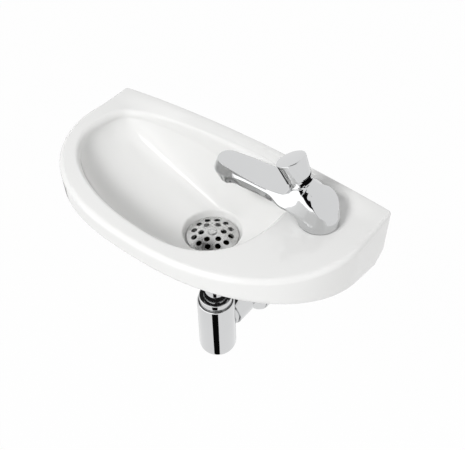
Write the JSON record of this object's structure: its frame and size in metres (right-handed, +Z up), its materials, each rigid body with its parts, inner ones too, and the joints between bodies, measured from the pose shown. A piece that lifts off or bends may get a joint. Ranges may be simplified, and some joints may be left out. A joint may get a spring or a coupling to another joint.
{
  "type": "hand basin",
  "caption": "Wall-hung D-shaped ceramic hand basin with a self-closing push tap on its right ledge, a grated waste and a chrome bottle trap that leaves through the wall.",
  "frame": {"origin": "on the wall's face, midway between the two wall bolts", "axes": "+X to the right for someone who stands at the basin, +Y into the wall along the wall bolts, +Z up"},
  "size_m": [0.4032, 0.266, 0.3902],
  "materials": {
    "ceramic": "gloss",
    "chrome": "polished",
    "steel": "satin",
    "brass": "satin",
    "rubber": "matt",
    "plastic": "matt"
  },
  "bodies": {
    "fixed_set": {"basin": "ceramic", "tap_body": "chrome", "cartridge_housing": "chrome", "aerator_housing": "chrome", "waste_body": "chrome", "trap_inlet_nut": "chrome", "trap_tailpipe": "chrome", "trap_top_nut": "chrome", "trap_body": "chrome", "trap_outlet_nut": "chrome", "trap_outlet_pipe": "chrome", "wall_rosette": "chrome", "wall_bolts": "steel", "bolt_washers": "steel", "bolt_nuts": "steel", "waste_grille": "steel", "waste_screw": "steel", "tap_fixing_washer": "steel", "return_spring": "steel", "tap_shank": "brass", "tap_backnut": "brass", "waste_bridge_nut": "brass", "waste_top_seal": "rubber", "waste_lower_seal": "rubber", "trap_inlet_seal": "rubber", "trap_top_seal": "rubber", "trap_outlet_seal": "rubber", "tap_base_seal": "rubber", "tap_fixing_seal": "rubber", "aerator_seal": "rubber", "cartridge_o_rings": "rubber", "bolt_bushes": "plastic", "aerator_insert": "plastic"},
    "button": {"push_button": "chrome", "cartridge_stem": "brass", "valve_piston": "plastic", "valve_seal": "rubber"}
  },
  "joints": [
    {"name": "button_press", "type": "slide", "parent": "fixed_set", "child": "button", "axis": [0.4677, 0.0409, -0.8829], "range_m": [0, 0.005], "stiffness_N_per_m": 1500, "springref_m": -0.01, "deforming": ["return_spring"]}
  ]
}
